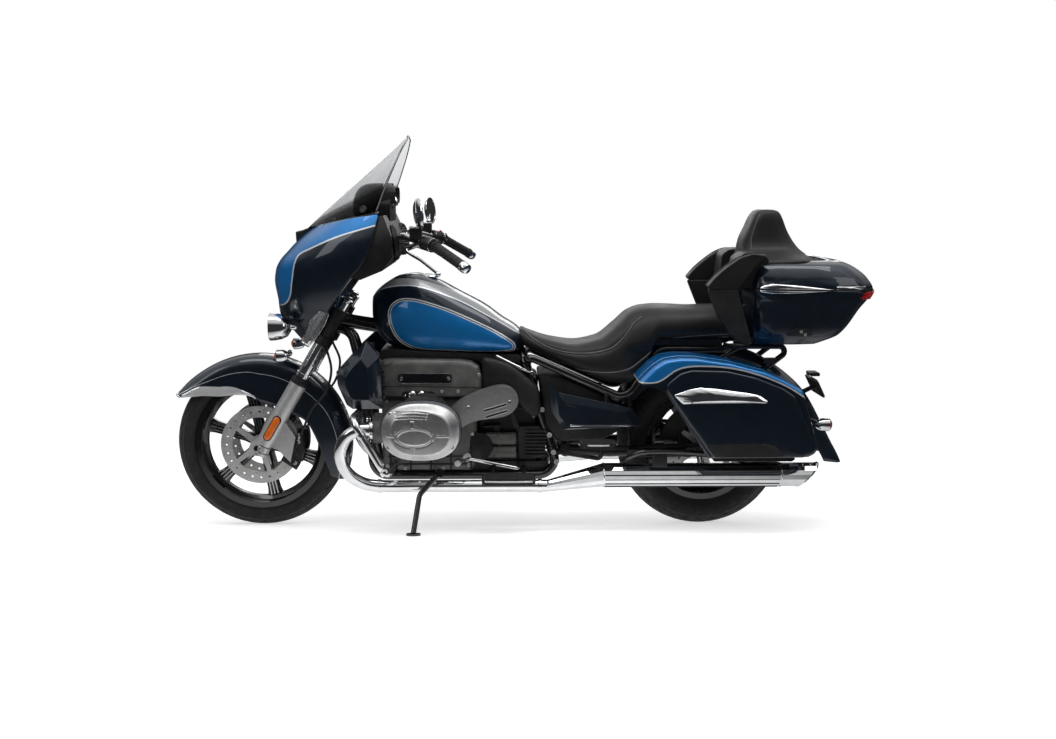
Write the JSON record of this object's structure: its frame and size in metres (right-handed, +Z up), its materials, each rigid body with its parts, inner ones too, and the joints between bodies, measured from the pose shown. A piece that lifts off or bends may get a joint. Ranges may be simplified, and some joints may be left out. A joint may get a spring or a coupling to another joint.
{
  "type": "touring motorcycle",
  "caption": "Full-dress touring motorcycle with a flat twin engine, fork fairing, tall screen, hard side cases and a lidded top case with backrest, parked leaning on its side stand.",
  "frame": {"origin": "on the ground at the middle of the parked motorcycle's footprint box", "axes": "+Z up, +X towards the rear wheel, -Y towards the side stand, so the machine leans 8 degrees towards -Y"},
  "size_m": [2.6372, 1.0688, 1.485],
  "materials": {
    "navy_paint": "gloss",
    "chrome": "polished",
    "satin_aluminium": "satin",
    "engine_grey": "satin",
    "black_metal": "satin",
    "disc_steel": "brushed",
    "tyre_rubber": "matte",
    "black_rubber": "matte",
    "black_leather": "grained",
    "black_plastic": "textured",
    "screen": "clear"
  },
  "bodies": {
    "frame": {"case_rails": "black_metal", "crash_bars": "chrome", "cylinder_covers": "satin_aluminium", "cylinders": "engine_grey", "engine_block": "engine_grey", "engine_top_cover": "engine_grey", "exhaust_headers": "chrome", "final_drive": "satin_aluminium", "foot_controls": "black_metal", "footboards": "black_rubber", "fuel_tank": "navy_paint", "gearbox": "engine_grey", "intake_covers": "satin_aluminium", "left_case": "navy_paint", "leg_shields": "navy_paint", "main_frame": "black_metal", "mufflers": "chrome", "pillion_boards": "black_rubber", "plate_bracket": "black_metal", "rear_caliper": "black_metal", "rear_fender": "navy_paint", "rear_lamps": "chrome", "right_case": "navy_paint", "seat": "black_leather", "side_covers": "navy_paint", "stand_bracket": "black_metal", "swingarm": "black_metal", "tail_cover": "black_plastic", "topcase": "navy_paint", "topcase_rack": "chrome"},
    "steering": {"fork_tubes": "chrome", "fork_sliders": "satin_aluminium", "steering_clamps": "black_metal", "front_axle": "disc_steel", "front_calipers": "black_metal", "front_fender": "navy_paint", "handlebar": "chrome", "grips": "black_rubber", "hand_controls": "black_metal", "mirrors": "chrome", "fairing_shell": "navy_paint", "fairing_inner": "black_plastic", "windshield": "screen", "headlamp": "chrome", "spot_lamps": "chrome", "front_signals": "chrome"},
    "front_wheel": {"front_rim": "black_metal", "front_tyre": "tyre_rubber", "front_discs": "disc_steel"},
    "rear_wheel": {"rear_rim": "black_metal", "rear_tyre": "tyre_rubber", "rear_disc": "disc_steel"},
    "side_stand": {"side_stand": "black_metal"},
    "topcase_lid": {"topcase_lid": "navy_paint", "topcase_backrest": "black_leather"},
    "left_case_lid": {"left_case_lid": "navy_paint"},
    "right_case_lid": {"right_case_lid": "navy_paint"}
  },
  "joints": [
    {"name": "steering", "type": "hinge", "parent": "frame", "child": "steering", "pos_m": [-0.75791, 0.00113, 0.804], "axis": [0.4586, -0.1237, 0.88], "range_deg": [-30, 30]},
    {"name": "front_wheel_spin", "type": "hinge", "parent": "steering", "child": "front_wheel", "pos_m": [-0.993, 0.06873, 0.32303], "axis": [0, 0.9903, 0.1392], "continuous": true},
    {"name": "rear_wheel_spin", "type": "hinge", "parent": "frame", "child": "rear_wheel", "pos_m": [0.702, 0.06944, 0.31798], "axis": [0, 0.9903, 0.1392], "continuous": true},
    {"name": "side_stand_fold", "type": "hinge", "parent": "frame", "child": "side_stand", "pos_m": [-0.298, -0.21968, 0.21958], "axis": [-0.1886, 0.9721, -0.1396], "range_deg": [-92, 0]},
    {"name": "topcase_lid_hinge", "type": "hinge", "parent": "frame", "child": "topcase_lid", "pos_m": [0.681, -0.01592, 0.92531], "axis": [0, -0.9903, -0.1392], "range_deg": [0, 50]},
    {"name": "left_case_lid_hinge", "type": "hinge", "parent": "frame", "child": "left_case_lid", "pos_m": [0.847, -0.25129, 0.2828], "axis": [1, 0, 0], "range_deg": [0, 60]},
    {"name": "right_case_lid_hinge", "type": "hinge", "parent": "frame", "child": "right_case_lid", "pos_m": [0.847, 0.38743, 0.37257], "axis": [-1, 0, 0], "range_deg": [0, 60]}
  ]
}
